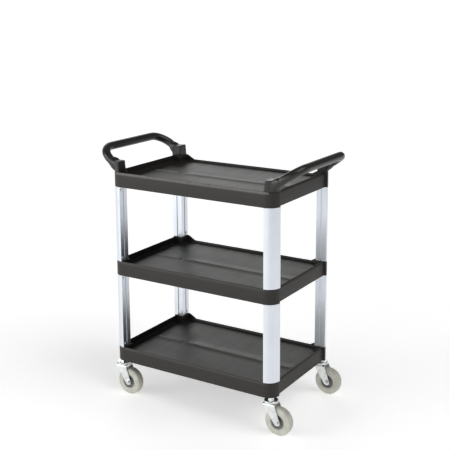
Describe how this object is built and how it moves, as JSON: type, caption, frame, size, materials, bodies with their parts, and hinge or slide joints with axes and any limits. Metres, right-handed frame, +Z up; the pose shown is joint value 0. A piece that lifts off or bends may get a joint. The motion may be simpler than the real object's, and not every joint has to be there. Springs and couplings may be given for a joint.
{
  "type": "food service trolley",
  "caption": "Open-shelf service trolley: moulded trays on quarter-round metal uprights, a loop handle over each end, swivel casters under the corners.",
  "frame": {"origin": "on the floor under the middle of the trolley", "axes": "+X along the trays towards the right handle, +Y across the trays to the low rear rim, +Z up"},
  "size_m": [0.851, 0.43, 0.942],
  "materials": {
    "tray_plastic": "fine pebbled, satin",
    "anodised_aluminium": "clear anodised extrusion",
    "handle_plastic": "semi-gloss",
    "caster_zinc": "bright zinc plate",
    "ball_steel": "polished",
    "zinc": "bright zinc plate",
    "hub_plastic": "moulded",
    "tread_rubber": "non-marking grey, matte"
  },
  "bodies": {
    "frame": {"caster_race_back_left": "caster_zinc", "caster_race_back_right": "caster_zinc", "caster_race_front_left": "caster_zinc", "caster_race_front_right": "caster_zinc", "caster_stem_back_left": "caster_zinc", "caster_stem_back_right": "caster_zinc", "caster_stem_front_left": "caster_zinc", "caster_stem_front_right": "caster_zinc", "handle_bolts": "zinc", "handle_left": "handle_plastic", "handle_right": "handle_plastic", "tray_bottom": "tray_plastic", "tray_middle": "tray_plastic", "tray_top": "tray_plastic", "upright_lower_back_left": "anodised_aluminium", "upright_lower_back_right": "anodised_aluminium", "upright_lower_front_left": "anodised_aluminium", "upright_lower_front_right": "anodised_aluminium", "upright_screws": "zinc", "upright_upper_back_left": "anodised_aluminium", "upright_upper_back_right": "anodised_aluminium", "upright_upper_front_left": "anodised_aluminium", "upright_upper_front_right": "anodised_aluminium"},
    "swivel_front_left": {"caster_fork_front_left": "caster_zinc", "caster_balls_front_left": "ball_steel", "axle_bolt_front_left": "zinc", "axle_nut_front_left": "zinc", "axle_sleeve_front_left": "zinc"},
    "wheel_front_left": {"wheel_hub_front_left": "hub_plastic", "wheel_tread_front_left": "tread_rubber"},
    "swivel_front_right": {"caster_fork_front_right": "caster_zinc", "caster_balls_front_right": "ball_steel", "axle_bolt_front_right": "zinc", "axle_nut_front_right": "zinc", "axle_sleeve_front_right": "zinc"},
    "wheel_front_right": {"wheel_hub_front_right": "hub_plastic", "wheel_tread_front_right": "tread_rubber"},
    "swivel_back_left": {"caster_fork_back_left": "caster_zinc", "caster_balls_back_left": "ball_steel", "axle_bolt_back_left": "zinc", "axle_nut_back_left": "zinc", "axle_sleeve_back_left": "zinc"},
    "wheel_back_left": {"wheel_hub_back_left": "hub_plastic", "wheel_tread_back_left": "tread_rubber"},
    "swivel_back_right": {"caster_fork_back_right": "caster_zinc", "caster_balls_back_right": "ball_steel", "axle_bolt_back_right": "zinc", "axle_nut_back_right": "zinc", "axle_sleeve_back_right": "zinc"},
    "wheel_back_right": {"wheel_hub_back_right": "hub_plastic", "wheel_tread_back_right": "tread_rubber"}
  },
  "joints": [
    {"name": "swivel_front_left", "type": "hinge", "parent": "frame", "child": "swivel_front_left", "pos_m": [-0.32, -0.19, 0.112], "axis": [0, 0, 1], "continuous": true},
    {"name": "spin_front_left", "type": "hinge", "parent": "swivel_front_left", "child": "wheel_front_left", "pos_m": [-0.288, -0.19, 0.05], "axis": [0, 1, 0], "continuous": true},
    {"name": "swivel_front_right", "type": "hinge", "parent": "frame", "child": "swivel_front_right", "pos_m": [0.32, -0.19, 0.112], "axis": [0, 0, 1], "continuous": true},
    {"name": "spin_front_right", "type": "hinge", "parent": "swivel_front_right", "child": "wheel_front_right", "pos_m": [0.352, -0.19, 0.05], "axis": [0, 1, 0], "continuous": true},
    {"name": "swivel_back_left", "type": "hinge", "parent": "frame", "child": "swivel_back_left", "pos_m": [-0.32, 0.19, 0.112], "axis": [0, 0, 1], "continuous": true},
    {"name": "spin_back_left", "type": "hinge", "parent": "swivel_back_left", "child": "wheel_back_left", "pos_m": [-0.288, 0.19, 0.05], "axis": [0, 1, 0], "continuous": true},
    {"name": "swivel_back_right", "type": "hinge", "parent": "frame", "child": "swivel_back_right", "pos_m": [0.32, 0.19, 0.112], "axis": [0, 0, 1], "continuous": true},
    {"name": "spin_back_right", "type": "hinge", "parent": "swivel_back_right", "child": "wheel_back_right", "pos_m": [0.352, 0.19, 0.05], "axis": [0, 1, 0], "continuous": true}
  ]
}
